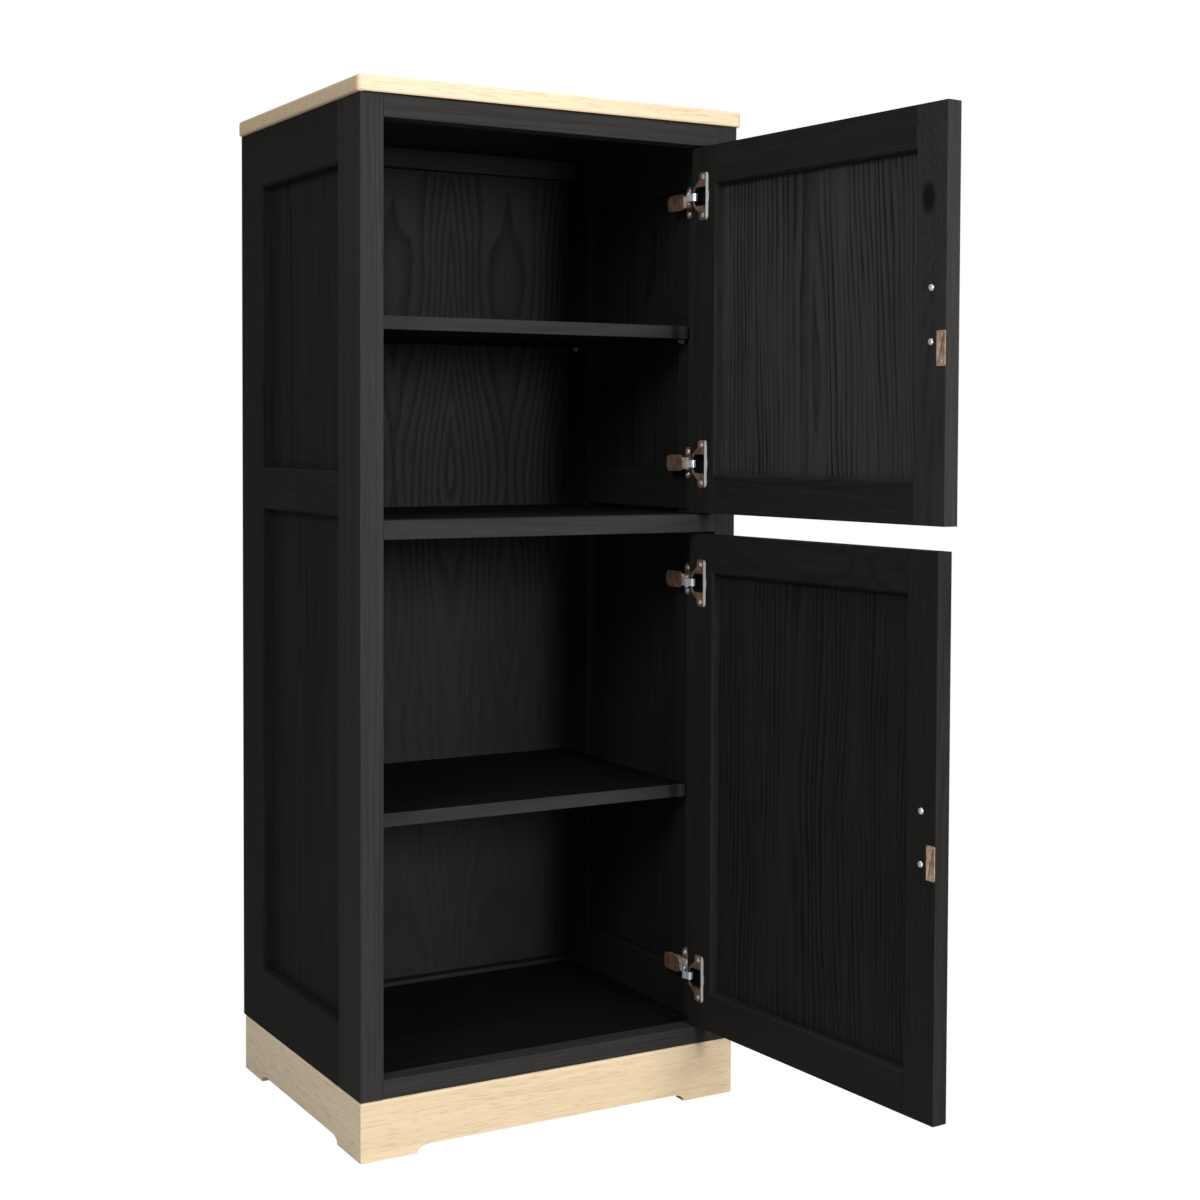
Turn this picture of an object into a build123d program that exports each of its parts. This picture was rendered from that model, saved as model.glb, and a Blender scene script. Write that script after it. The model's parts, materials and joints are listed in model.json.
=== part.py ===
from build123d import *
import os

# Icebox-style cupboard: a frame-and-panel case with two inset doors on concealed hinges.
# Millimetres. X runs to the right, -Y to the front, Z up. The origin is on the floor, in the middle of the
# foot of the rear plinth board. The doors stand open in the rest pose.

# case
body_width = 561.5
body_depth = 439.5
body_height = 1273.0
wall = 32.0  # thickness of the posts and side rails
front_post_depth = 75.5
rear_post_depth = 82.0
side_bottom_rail = 83.0  # height of the bottom side rail
side_middle_rail = (741.0, 799.5)  # bottom and top of the middle side rail
side_top_rail = 80.5  # height of the top side rail
side_outer_recess = 15.0
side_panel = 6.0
groove_depth = 8.0
groove_play = 0.5
sticking = 3.0  # width of the bevel round each panel
ease = 1.2  # rounding of the long edges

# front and rear rails, boards
front_rail_depth = 30.0
front_top_rail = 29.0
front_middle_rail = (713.6, 738.0)
front_bottom_rail = 24.0
rear_rail = 19.0
rear_rail_height = 30.0
back_thickness = 6.0
back_setback = 9.5  # from the rear of the posts to the rear of the back panel
divider_thickness = 19.0
floor_thickness = 18.0

# top and plinth
slab_thickness = 21.0
slab_overhang = 5.0
slab_corner = 7.0
slab_edge = 3.5
plinth_height = 77.6
plinth_thickness = 19.0
plinth_setback = 9.0  # the plinth stops short of the rear of the case
plinth_edge = 4.0
arch_lip = 1.5  # upright part at each end of an arch
arch_height = 8.3  # rise above the lip
foot_width = 79.0
rear_foot_width = 70.0
arch_sweep = 18.0

# shelves
shelf_thickness = 18.0
shelf_tops = (352.0, 1001.0)
shelf_front = 66.0
shelf_gap = 4.5
shelf_back_gap = 1.5
pin_radius = 2.5
pin_play = 0.05
pin_hole_depth = 8.0
pin_reach = 7.0  # how far a pin stands out of its hole
pin_collar = 4.0
pin_collar_thickness = 1.5
pin_step = 32.0
pin_strip_width = 24.0
pin_strip_set = 0.5  # the strips lie this far below the inner face of the posts
pin_from_rear = 41.0  # rear pin line to the rear face

# doors
door_gap = 2.5
door_thickness = 22.0
door_member = 54.0  # width of stiles and rails
door_inner_recess = 11.5
door_panel = 5.5
open_angles = (95.0, 94.0)  # upper and lower door in the rest pose
pull_spacing = 64.0
pull_from_edge = 25.0
strike_drops = (40.0, 28.0)  # catch plate below the middle of the upper and lower door

# hinges
axis_from_jamb = 14.0  # the line about which a door turns, from the jamb
axis_from_front = 5.5  # and from the front face
hinge_from_rail = 70.0
cup_radius = 17.5
cup_from_edge = 21.5
cup_depth = 15.0
cup_wall = 0.8
cup_lip = 11.5  # from the middle of the cup to the straight far side of its hollow
cup_mouth = 26.0  # height of the hollow
flange = 1.5
link_pivot = (-13.0, 22.5)  # from the turning line
link_ratio = -0.6  # degrees of link for each degree of door
pivot_radius = 1.5
pivot_play = 0.05

arm_half_height = 8.0
arm_face = -1.0  # inner face of the arm, from the turning line
arm_profile = [(-1, 95), (8, 95), (8, 46), (-2, 30), (-9.5, 20.8), (-16.5, 24.2), (-9, 35), (-1, 46)]
nose_slot = 8.5
nose_play = 0.3
link_half_height = 5.0
link_thickness = 1.6
link_bend = 2.6
link_eye = 3.0
arm_eye = 4.2
link_path = [(-13, 22.5), (-23.4, 14), (-19.5, 0.4), (-14.5, 1.5)]  # with the door fully open
full_opening = 95.0
flange_width = 20.0
flange_height = 65.0
flange_corner = 5.0
flange_offset = 5.5  # middle of the flange bar, further from the door's edge than the cup
flange_shoulder = 23.0
flange_nose = 12.0
flange_reach = 16.5
flange_slope = (3.6, 1.1)  # bevel along the far edge of the flange bar, across and down
cup_screw_from_centre = 26.0
cup_screw_radius = 3.4
cup_screw_proud = 0.6
plate_centre = 61.0
plate_length = 46.0
plate_height = 14.0
wing_height = 45.0
wing_width = 14.0
wing_thickness = 2.8
pedestal = 3.2
wing_screw_spacing = 32.0
wing_screw_radius = 3.6
wing_screw_head = 1.2
cover_span = (54.0, 96.0)
cover_height = 23.0
cover_corner = 8.0
cover_thickness = 2.0
cover_round = 0.9

# pulls, screws and catches
screw_radius = 2.0
screw_head_radius = 4.0
screw_head_height = 2.2
screw_head_round = 1.5
screw_bite = 10.0
pull_plate_height = 88.0
pull_plate_width = 16.0
pull_plate_thickness = 2.0
pull_post_radius = 3.6
pull_reach = 14.0
pull_grip_radius = 4.0
pull_grip_length = 80.0
pull_grip_round = 2.5
strike_width = 14.0
strike_height = 42.0
strike_corner = 1.5
strike_inset = 0.8
strike_thickness = 1.2
catch_width = 9.5
catch_depth = 22.0
catch_height = 40.0
catch_play = 0.4
catch_round = 1.5

# derived places
half_width = body_width / 2
front = -(body_depth - plinth_setback - plinth_thickness / 2)
rear = front + body_depth
floor = plinth_height  # underside of the case
ceiling = floor + body_height
jamb = half_width - wall
back_face = rear - back_setback - back_thickness

os.makedirs("parts", exist_ok=True)


def save(piece, label):
    """Labels a finished piece and writes it as its own file."""
    piece.part.label = label
    export_step(piece.part, f"parts/{label}.step")


def block(low, high, mode=Mode.ADD):
    """Adds a box between two corners to the part that is being built."""
    size = [b - a for a, b in zip(low, high)]
    with Locations([tuple(low)]):
        Box(*size, align=(Align.MIN, Align.MIN, Align.MIN), mode=mode)


def peg(plane, spots, radius, proud, sunk=0.0, mode=Mode.ADD):
    """Adds round pegs that stand out of a plane by one length and reach behind it by another."""
    with Locations(plane):
        with Locations(*[(x, y, -sunk) for x, y in spots]):
            Cylinder(radius, proud + sunk, align=(Align.CENTER, Align.CENTER, Align.MIN), mode=mode)


def bevel_cutters(planes, width, height, run_out=0.0):
    """Shallow tapered blocks that bevel the edges of an opening, wide ends on the planes."""
    cutters = []
    for plane in planes:
        with BuildPart(mode=Mode.PRIVATE) as cutter:
            with BuildSketch(plane):
                Rectangle(width + 2 * (sticking + run_out), height + 2 * sticking)
            extrude(amount=-sticking, taper=45)
        cutters.append(cutter.part)
    return cutters


# side frames

side_rails = (
    ("bottom", floor, floor + side_bottom_rail),
    ("middle", floor + side_middle_rail[0], floor + side_middle_rail[1]),
    ("top", ceiling - side_top_rail, ceiling),
)
side_bays = (
    ("lower", side_rails[0][2], side_rails[1][1]),
    ("upper", side_rails[1][2], side_rails[2][1]),
)
bay_front = front + front_post_depth
bay_rear = rear - rear_post_depth
front_pin_y = bay_front + pin_strip_width / 2
rear_pin_y = rear - pin_from_rear
pin_levels = [floor + top - shelf_thickness - pin_radius + pin_play for top in shelf_tops]


def pin_holes(face, y, sign, levels):
    """Bores three holes, one above the other, about each shelf's level in a wall face."""
    for level in levels:
        with Locations(Plane((face, y, level), x_dir=(0, 1, 0), z_dir=(-sign, 0, 0))):
            with GridLocations(0, pin_step, 1, 3):
                Hole(pin_radius, depth=pin_hole_depth)


def side_frame(name, sign):
    """Builds one side: two posts, three rails and two panels, on the left (-1) or the right (+1)."""
    outer = sign * half_width
    inner = sign * jamb
    panel_outer = outer - sign * side_outer_recess
    panel_inner = panel_outer - sign * side_panel
    post_cutters = []
    rail_cutters = []
    for _, bottom, top in side_bays:
        middle_y, middle_z = (bay_front + bay_rear) / 2, (bottom + top) / 2
        planes = [
            Plane((face, middle_y, middle_z), x_dir=(0, 1, 0), z_dir=(normal, 0, 0))
            for face, normal in ((outer, sign), (inner, -sign))
        ]
        post_cutters += bevel_cutters(planes, bay_rear - bay_front, top - bottom)
        rail_cutters += bevel_cutters(planes, bay_rear - bay_front, top - bottom, run_out=groove_depth)

    def span(first, last, y_low, y_high, z_low, z_high):
        return (min(first, last), y_low, z_low), (max(first, last), y_high, z_high)

    held = groove_depth - groove_play
    tongues = (bay_front - held, bay_rear + held)
    posts = (("front", front, bay_front, 1), ("rear", bay_rear, rear, -1))
    for place, y_low, y_high, inward in posts:
        with BuildPart() as post:
            block(*span(outer, inner, y_low, y_high, floor, ceiling))
            fillet(post.edges().filter_by(Axis.Z), radius=ease)
            groove_edge = y_high if inward > 0 else y_low
            groove = sorted((groove_edge, groove_edge - inward * groove_depth))
            block(*span(panel_outer, panel_inner, *groove, floor, ceiling), mode=Mode.SUBTRACT)
            if place == "rear":
                back = (back_face, back_face + back_thickness)
                block(*span(inner, inner + sign * groove_depth, *back, floor, ceiling), mode=Mode.SUBTRACT)
                pin_holes(inner, rear_pin_y, sign, pin_levels)
            for cutter in post_cutters:
                add(cutter, mode=Mode.SUBTRACT)
        save(post, f"{name}_{place}_post")

    for place, bottom, top in side_rails:
        with BuildPart() as rail:
            block(*span(outer, inner, bay_front, bay_rear, bottom, top))
            block(*span(panel_outer, panel_inner, *tongues, bottom, top))
            if place != "bottom":
                groove = (bottom, bottom + groove_depth)
                block(*span(panel_outer, panel_inner, *tongues, *groove), mode=Mode.SUBTRACT)
            if place != "top":
                groove = (top - groove_depth, top)
                block(*span(panel_outer, panel_inner, *tongues, *groove), mode=Mode.SUBTRACT)
            for cutter in rail_cutters:
                add(cutter, mode=Mode.SUBTRACT)
        save(rail, f"{name}_{place}_rail")

    for place, bottom, top in side_bays:
        with BuildPart() as panel:
            block(*span(panel_outer, panel_inner, *tongues, bottom - held, top + held))
        save(panel, f"{name}_{place}_panel")

    strip_face = inner + sign * pin_strip_set
    with BuildPart() as strips:
        for (_, bottom, top), level in zip(side_bays, pin_levels):
            block(*span(panel_inner, strip_face, bay_front, bay_front + pin_strip_width, bottom, top))
            pin_holes(strip_face, front_pin_y, sign, [level])
    save(strips, f"{name}_pin_strips")


side_frame("left", -1)
side_frame("right", 1)

# front and rear rails, boards between the sides

front_rails = (
    ("top", ceiling - front_top_rail, ceiling),
    ("middle", floor + front_middle_rail[0], floor + front_middle_rail[1]),
    ("bottom", floor, floor + front_bottom_rail),
)
for place, bottom, top in front_rails:
    with BuildPart() as rail:
        block((-jamb, front, bottom), (jamb, front + front_rail_depth, top))
        fillet(rail.edges().filter_by(Axis.X), radius=ease)
    save(rail, f"front_{place}_rail")

rear_rails = (("top", ceiling - rear_rail_height, ceiling), ("bottom", floor, floor + front_bottom_rail))
for place, bottom, top in rear_rails:
    with BuildPart() as rail:
        block((-jamb, back_face - rear_rail, bottom), (jamb, back_face, top))
        front_edges = rail.edges().filter_by(Axis.X).group_by(Axis.Y)[0]
        fillet(front_edges, radius=slab_edge)
    save(rail, f"rear_{place}_rail")

with BuildPart() as back_panel:
    held = groove_depth - groove_play
    block((-jamb - held, back_face, floor), (jamb + held, back_face + back_thickness, ceiling))
save(back_panel, "back_panel")

divider_top = floor + front_middle_rail[1]
boards = (
    ("divider_board", divider_top - divider_thickness, divider_top, back_face),
    ("bottom_board", floor, floor + floor_thickness, back_face - rear_rail),
)
for label, bottom, top, board_rear in boards:
    with BuildPart() as board:
        block((-jamb, front + front_rail_depth, bottom), (jamb, board_rear, top))
    save(board, label)

# top slab

with BuildPart() as top_slab:
    with BuildSketch(Plane.XY.offset(ceiling)):
        with Locations((0, (front - slab_overhang + rear) / 2)):
            Rectangle(body_width + 2 * slab_overhang, body_depth + slab_overhang)
    extrude(amount=slab_thickness)
    fillet(top_slab.edges().filter_by(Axis.Z), radius=slab_corner)
    rims = top_slab.faces().sort_by(Axis.Z)
    fillet(rims[0].edges() + rims[-1].edges(), radius=slab_edge)
save(top_slab, "top_slab")

# plinth

plinth_rear = rear - plinth_setback


def arched_board(plane, length, first_foot, last_foot, plan):
    """Builds a plinth board with a low arch between its feet and mitred ends."""
    start, end = first_foot, length - last_foot
    with BuildPart(mode=Mode.PRIVATE) as board:
        with BuildSketch(plane):
            with BuildLine():
                Polyline((start, arch_lip), (start, 0), (0, 0), (0, plinth_height), (length, plinth_height))
                Polyline((length, plinth_height), (length, 0), (end, 0), (end, arch_lip))
                EllipticalCenterArc((end - arch_sweep, arch_lip), arch_sweep, arch_height, start_angle=0)
                crown = arch_lip + arch_height
                Line((end - arch_sweep, crown), (start + arch_sweep, crown))
                EllipticalCenterArc((start + arch_sweep, arch_lip), arch_sweep, arch_height, start_angle=90)
            make_face()
        extrude(amount=-plinth_thickness)
        with BuildSketch(Plane.XY):
            Polygon(*plan, align=None)
        extrude(amount=plinth_height, mode=Mode.INTERSECT)
    return board.part


side_length = plinth_rear - front
plinth_inner = half_width - plinth_thickness
plinth_front_inner = front + plinth_thickness
front_plan = [
    (-half_width, front),
    (half_width, front),
    (plinth_inner, plinth_front_inner),
    (-plinth_inner, plinth_front_inner),
]
with BuildPart() as plinth_front:
    face_plane = Plane((-half_width, front, 0), x_dir=(1, 0, 0), z_dir=(0, -1, 0))
    add(arched_board(face_plane, body_width, foot_width, foot_width, front_plan))
    outer_edge = plinth_front.edges().filter_by(Axis.X).group_by(Axis.Z)[-1].sort_by(Axis.Y)[0]
    fillet(outer_edge, radius=plinth_edge)
save(plinth_front, "plinth_front_board")

for name, sign in (("left", -1), ("right", 1)):
    side_plan = [
        (sign * half_width, front),
        (sign * half_width, plinth_rear),
        (sign * plinth_inner, plinth_rear),
        (sign * plinth_inner, plinth_front_inner),
    ]
    with BuildPart() as plinth_side:
        # the drawing plane looks out of the case, so its own X runs to the rear on the right side only
        near = front if sign > 0 else plinth_rear
        feet = (foot_width, rear_foot_width) if sign > 0 else (rear_foot_width, foot_width)
        face_plane = Plane((sign * half_width, near, 0), x_dir=(0, sign, 0), z_dir=(sign, 0, 0))
        add(arched_board(face_plane, side_length, *feet, side_plan))
        top_edges = plinth_side.edges().filter_by(Axis.Y).group_by(Axis.Z)[-1]
        fillet(top_edges.sort_by(Axis.X)[0 if sign < 0 else -1], radius=plinth_edge)
    save(plinth_side, f"plinth_{name}_board")

with BuildPart() as plinth_back:
    block((-plinth_inner, plinth_rear - plinth_thickness, 0), (plinth_inner, plinth_rear, plinth_height))
save(plinth_back, "plinth_rear_board")

# shelves and their pins

for name, shelf_top in zip(("lower", "upper"), shelf_tops):
    top = floor + shelf_top
    with BuildPart() as shelf:
        low = (-jamb + shelf_gap, front + shelf_front, top - shelf_thickness)
        block(low, (jamb - shelf_gap, back_face - shelf_back_gap, top))
        fillet(shelf.edges().filter_by(Axis.X).group_by(Axis.Y)[0], radius=ease)
    save(shelf, f"{name}_shelf")

pin_sunk = pin_hole_depth - groove_play
with BuildPart() as shelf_pins:
    for level in pin_levels:
        for sign in (-1, 1):
            for y, face in ((front_pin_y, jamb + pin_strip_set), (rear_pin_y, jamb)):
                pin_plane = Plane((sign * face, y, level), x_dir=(0, 1, 0), z_dir=(-sign, 0, 0))
                peg(pin_plane, [(0, 0)], pin_radius - pin_play, pin_reach, pin_sunk)
                peg(pin_plane, [(0, 0)], pin_collar, pin_collar_thickness)
save(shelf_pins, "shelf_pins")

# doors

turning_x = jamb - axis_from_jamb
turning_y = front + axis_from_front
door_inner_y = front + door_thickness
door_left = -jamb + door_gap
door_right = jamb - door_gap
cup_x = door_right - cup_from_edge
pull_x = door_left + pull_from_edge


def swing(piece, angle):
    """Turns a piece of a closed door to where it stands in the rest pose."""
    return piece.part.rotate(Axis((turning_x, turning_y, 0), (0, 0, 1)), angle)


def save_swung(piece, label, angle):
    """Writes a piece that was made on the closed door, at its place on the open door."""
    turned = swing(piece, angle)
    turned.label = label
    export_step(turned, f"parts/{label}.step")


def door(name, opening_bottom, opening_top, angle, strike_drop):
    """Builds one frame-and-panel door with its cups, pull and catch plate."""
    bottom = opening_bottom + door_gap
    top = opening_top - door_gap
    middle = (bottom + top) / 2
    hinge_levels = (opening_bottom + hinge_from_rail, opening_top - hinge_from_rail)
    bay_left, bay_right = door_left + door_member, door_right - door_member
    bay_bottom, bay_top = bottom + door_member, top - door_member
    panel_rear = door_inner_y - door_inner_recess
    panel_front = panel_rear - door_panel
    tongue = groove_depth - groove_play
    middle_x, middle_z = (bay_left + bay_right) / 2, (bay_bottom + bay_top) / 2
    planes = [
        Plane((middle_x, face, middle_z), x_dir=(1, 0, 0), z_dir=(0, normal, 0))
        for face, normal in ((front, -1), (door_inner_y, 1))
    ]
    stile_cutters = bevel_cutters(planes, bay_right - bay_left, bay_top - bay_bottom)
    rail_cutters = bevel_cutters(planes, bay_right - bay_left, bay_top - bay_bottom, run_out=groove_depth)

    stiles = (("hinge", bay_right, door_right, 1), ("latch", door_left, bay_left, -1))
    for place, low, high, outward in stiles:
        with BuildPart() as stile:
            block((low, front, bottom), (high, door_inner_y, top))
            fillet(stile.edges().filter_by(Axis.Z), radius=ease)
            bay_edge = low if outward > 0 else high
            groove = sorted((bay_edge, bay_edge + outward * groove_depth))
            block((groove[0], panel_front, bottom), (groove[1], panel_rear, top), mode=Mode.SUBTRACT)
            for cutter in stile_cutters:
                add(cutter, mode=Mode.SUBTRACT)
            inner_plane = Plane((0, door_inner_y, 0), x_dir=(-1, 0, 0), z_dir=(0, 1, 0))
            if place == "hinge":
                spots = [(-cup_x, level) for level in hinge_levels]
                peg(inner_plane, spots, cup_radius, 0, cup_depth, Mode.SUBTRACT)
            else:
                spots = [(-pull_x, middle - pull_spacing / 2), (-pull_x, middle + pull_spacing / 2)]
                peg(inner_plane, spots, screw_radius + pivot_play, 0, door_thickness, Mode.SUBTRACT)
        save_swung(stile, f"{name}_door_{place}_stile", angle)

    rails = (("bottom", bottom, bay_bottom), ("top", bay_top, top))
    for place, low, high in rails:
        with BuildPart() as rail:
            block((bay_left, front, low), (bay_right, door_inner_y, high))
            block((bay_left - tongue, panel_front, low), (bay_right + tongue, panel_rear, high))
            groove = (low, low + groove_depth) if place == "top" else (high - groove_depth, high)
            groove_start = (bay_left - tongue, panel_front, groove[0])
            block(groove_start, (bay_right + tongue, panel_rear, groove[1]), mode=Mode.SUBTRACT)
            for cutter in rail_cutters:
                add(cutter, mode=Mode.SUBTRACT)
        save_swung(rail, f"{name}_door_{place}_rail", angle)

    with BuildPart() as panel:
        panel_start = (bay_left - tongue, panel_front, bay_bottom - tongue)
        block(panel_start, (bay_right + tongue, panel_rear, bay_top + tongue))
    save_swung(panel, f"{name}_door_panel", angle)

    hinge_cups(name, hinge_levels, angle)
    pull(name, middle, angle)

    with BuildPart() as strike:
        with BuildSketch(Plane((0, door_inner_y, 0), x_dir=(-1, 0, 0), z_dir=(0, 1, 0))):
            with Locations((-door_left - strike_width / 2 - strike_inset, middle - strike_drop)):
                RectangleRounded(strike_width, strike_height, strike_corner)
        extrude(amount=strike_thickness)
    save_swung(strike, f"{name}_door_catch_plate", angle)

    hinge_arms(name, hinge_levels)
    hinge_links(name, hinge_levels, angle)
    return hinge_levels, middle - strike_drop


def hinge_cups(name, levels, angle):
    """Builds the two cups of a door, with their flanges and screws, let into the inner face."""
    plane = Plane((cup_x, door_inner_y, 0), x_dir=(-1, 0, 0), z_dir=(0, 1, 0))
    rim = plane.offset(flange)
    spots = [(0, level) for level in levels]
    screw_levels = [level + side * cup_screw_from_centre for level in levels for side in (-1, 1)]
    screw_spots = [(flange_offset, level) for level in screw_levels]
    with BuildPart() as cups:
        with BuildSketch(plane):
            for level in levels:
                with Locations((flange_offset, level)):
                    RectangleRounded(flange_width, flange_height, flange_corner)
                bar_edge = flange_offset - flange_width / 2 + flange_corner / 2
                Polygon(
                    (bar_edge, level - flange_shoulder),
                    (-flange_reach, level - flange_nose),
                    (-flange_reach, level + flange_nose),
                    (bar_edge, level + flange_shoulder),
                    align=None,
                )
        extrude(amount=flange)
        outer_faces = cups.faces().filter_by(Axis.Y).group_by(Axis.Y)[-1]
        far_edges = outer_faces.edges().filter_by(Axis.Z).group_by(Axis.X)[0]
        for far_edge, face in zip(far_edges.sort_by(Axis.Z), outer_faces.sort_by(Axis.Z)):
            chamfer(far_edge, length=flange_slope[0], length2=flange_slope[1], reference=face)
        peg(plane, spots, cup_radius - pivot_play, 0, cup_depth)
        with BuildSketch(rim):
            for spot in spots:
                with Locations(spot):
                    with BuildSketch(mode=Mode.PRIVATE) as hollow:
                        Circle(cup_radius - cup_wall)
                        with Locations((cup_lip - cup_radius, 0)):
                            Rectangle(2 * cup_radius, cup_mouth, mode=Mode.INTERSECT)
                    add(hollow.sketch)
        extrude(amount=cup_wall - cup_depth - flange, mode=Mode.SUBTRACT)
        peg(rim, screw_spots, cup_screw_radius, 0, flange, Mode.SUBTRACT)
    save_swung(cups, f"{name}_door_hinge_cups", angle)

    with BuildPart() as screws:
        peg(rim, screw_spots, cup_screw_radius - pivot_play, cup_screw_proud, flange)
    save_swung(screws, f"{name}_door_cup_screws", angle)


def pull(name, middle, angle):
    """Builds the bow pull on the outside of a door, and its two screws from the inside."""
    plate_plane = Plane((pull_x, front, middle), x_dir=(1, 0, 0), z_dir=(0, -1, 0))
    spots = [(0, -pull_spacing / 2), (0, pull_spacing / 2)]
    grip_plane = Plane((pull_x, front - pull_reach, middle - pull_grip_length / 2), z_dir=(0, 0, 1))
    with BuildPart() as handle:
        with BuildSketch(plate_plane):
            SlotOverall(pull_plate_height, pull_plate_width, rotation=90)
        extrude(amount=pull_plate_thickness)
        peg(plate_plane, spots, pull_post_radius, pull_reach)
        with BuildPart(mode=Mode.PRIVATE) as grip:
            peg(grip_plane, [(0, 0)], pull_grip_radius, pull_grip_length)
            fillet(grip.edges().filter_by(GeomType.CIRCLE), radius=pull_grip_round)
        add(grip.part)
        peg(plate_plane, spots, screw_radius, screw_bite, 0, Mode.SUBTRACT)
    save_swung(handle, f"{name}_door_pull", angle)

    with BuildPart() as screws:
        inner_plane = Plane((pull_x, door_inner_y, middle), x_dir=(-1, 0, 0), z_dir=(0, 1, 0))
        peg(inner_plane, spots, screw_head_radius, screw_head_height)
        heads = screws.faces().filter_by(Axis.Y).group_by(Axis.Y)[-1]
        fillet(heads.edges(), radius=screw_head_round)
        peg(inner_plane, spots, screw_radius, 0, door_thickness + screw_bite - groove_play)
    save_swung(screws, f"{name}_door_pull_screws", angle)


def outline(points):
    """Turns points given from the turning line into points of the drawing plane."""
    return [(turning_x + x, turning_y + y) for x, y in points]


def hinge_arms(name, levels):
    """Builds the two cranked arms that carry a door's links, each with its pivot pin."""
    pivot = (turning_x + link_pivot[0], turning_y + link_pivot[1])
    slot_half = link_half_height + nose_play
    with BuildPart() as arms:
        for level in levels:
            with BuildSketch(Plane.XY.offset(level - arm_half_height)):
                Polygon(*outline(arm_profile), align=None)
                with Locations(pivot):
                    Circle(arm_eye)
            extrude(amount=2 * arm_half_height)
            peg(Plane.XY.offset(level), [pivot], nose_slot, slot_half, slot_half, Mode.SUBTRACT)
            peg(Plane.XY.offset(level), [pivot], pivot_radius, arm_half_height, arm_half_height)
    save(arms, f"{name}_door_hinge_arms")


def hinge_links(name, levels, angle):
    """Builds a door's two hooked links, drawn as they stand with the door fully open."""
    path = outline(link_path)
    pivot = path[0]
    with BuildPart() as links:
        for level in levels:
            with BuildSketch(Plane.XY.offset(level - link_half_height)):
                with BuildLine():
                    FilletPolyline(*path, radius=link_bend)
                trace(line_width=link_thickness)
                with Locations(pivot):
                    Circle(link_eye)
                    Circle(pivot_radius + pivot_play, mode=Mode.SUBTRACT)
            extrude(amount=2 * link_half_height)
    label = f"{name}_door_hinge_links"
    turned = links.part.rotate(Axis((*pivot, 0), (0, 0, 1)), link_ratio * (angle - full_opening))
    turned.label = label
    export_step(turned, f"parts/{label}.step")


upper_opening = (front_rails[1][2], front_rails[0][1])
lower_opening = (front_rails[2][2], front_rails[1][1])
upper_hinges, upper_catch = door("upper", *upper_opening, open_angles[0], strike_drops[0])
lower_hinges, lower_catch = door("lower", *lower_opening, open_angles[1], strike_drops[1])
all_hinges = lower_hinges + upper_hinges

# hinge plates, covers and catches on the case

plate_y = turning_y + plate_centre
with BuildPart() as plates:
    for level in all_hinges:
        with BuildSketch(Plane((jamb, plate_y, level), x_dir=(0, 1, 0), z_dir=(-1, 0, 0))):
            SlotOverall(wing_height, wing_width, rotation=90)
            Rectangle(plate_length, plate_height)
        extrude(amount=wing_thickness)
        with BuildSketch(Plane((jamb - wing_thickness, plate_y, level), x_dir=(0, 1, 0), z_dir=(-1, 0, 0))):
            Rectangle(plate_length, plate_height)
        extrude(amount=pedestal)
save(plates, "hinge_mounting_plates")

with BuildPart() as plate_screws:
    for level in all_hinges:
        with BuildSketch(Plane((jamb - wing_thickness, plate_y, level), x_dir=(0, 1, 0), z_dir=(-1, 0, 0))):
            with GridLocations(0, wing_screw_spacing, 1, 2):
                Circle(wing_screw_radius)
        extrude(amount=wing_screw_head)
save(plate_screws, "hinge_plate_screws")

with BuildPart() as covers:
    for level in all_hinges:
        start = turning_y + cover_span[0]
        length = cover_span[1] - cover_span[0]
        with BuildSketch(Plane((turning_x + arm_face, start, level), x_dir=(0, 1, 0), z_dir=(-1, 0, 0))):
            with Locations((length / 2, 0)):
                RectangleRounded(length, cover_height, cover_corner)
        extrude(amount=cover_thickness)
    fillet(covers.faces().sort_by(Axis.X)[: len(all_hinges)].edges(), radius=cover_round)
save(covers, "hinge_arm_covers")

with BuildPart() as catches:
    for level in (lower_catch, upper_catch):
        low = (-jamb, door_inner_y + strike_thickness + catch_play, level - catch_height / 2)
        block(low, (-jamb + catch_width, low[1] + catch_depth, level + catch_height / 2))
    fillet(catches.edges().filter_by(Axis.Y), radius=catch_round)
save(catches, "magnetic_catches")
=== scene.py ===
import bpy
import bmesh
import json
import math
import random
from mathutils import Matrix, Vector


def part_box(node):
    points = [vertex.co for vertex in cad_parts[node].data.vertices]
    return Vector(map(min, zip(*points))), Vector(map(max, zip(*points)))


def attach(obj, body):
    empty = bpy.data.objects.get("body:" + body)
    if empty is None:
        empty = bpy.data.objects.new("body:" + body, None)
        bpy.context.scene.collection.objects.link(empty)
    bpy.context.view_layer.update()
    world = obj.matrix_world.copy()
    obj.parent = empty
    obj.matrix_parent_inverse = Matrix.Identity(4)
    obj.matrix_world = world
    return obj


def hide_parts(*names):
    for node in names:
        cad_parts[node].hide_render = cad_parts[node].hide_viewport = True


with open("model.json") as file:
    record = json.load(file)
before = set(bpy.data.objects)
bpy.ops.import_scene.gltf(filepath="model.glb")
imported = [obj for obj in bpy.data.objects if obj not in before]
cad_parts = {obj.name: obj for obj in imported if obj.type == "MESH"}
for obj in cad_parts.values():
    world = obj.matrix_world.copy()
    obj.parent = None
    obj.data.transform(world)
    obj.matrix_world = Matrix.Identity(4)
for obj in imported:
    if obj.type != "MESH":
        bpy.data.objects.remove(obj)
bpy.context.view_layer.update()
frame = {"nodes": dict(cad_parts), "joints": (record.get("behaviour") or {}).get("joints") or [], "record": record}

nodes = frame["nodes"]
joints = {joint["name"]: joint for joint in frame["joints"]}


# shader maths: a wrapped socket that understands + - * and a bench that makes any node

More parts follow.
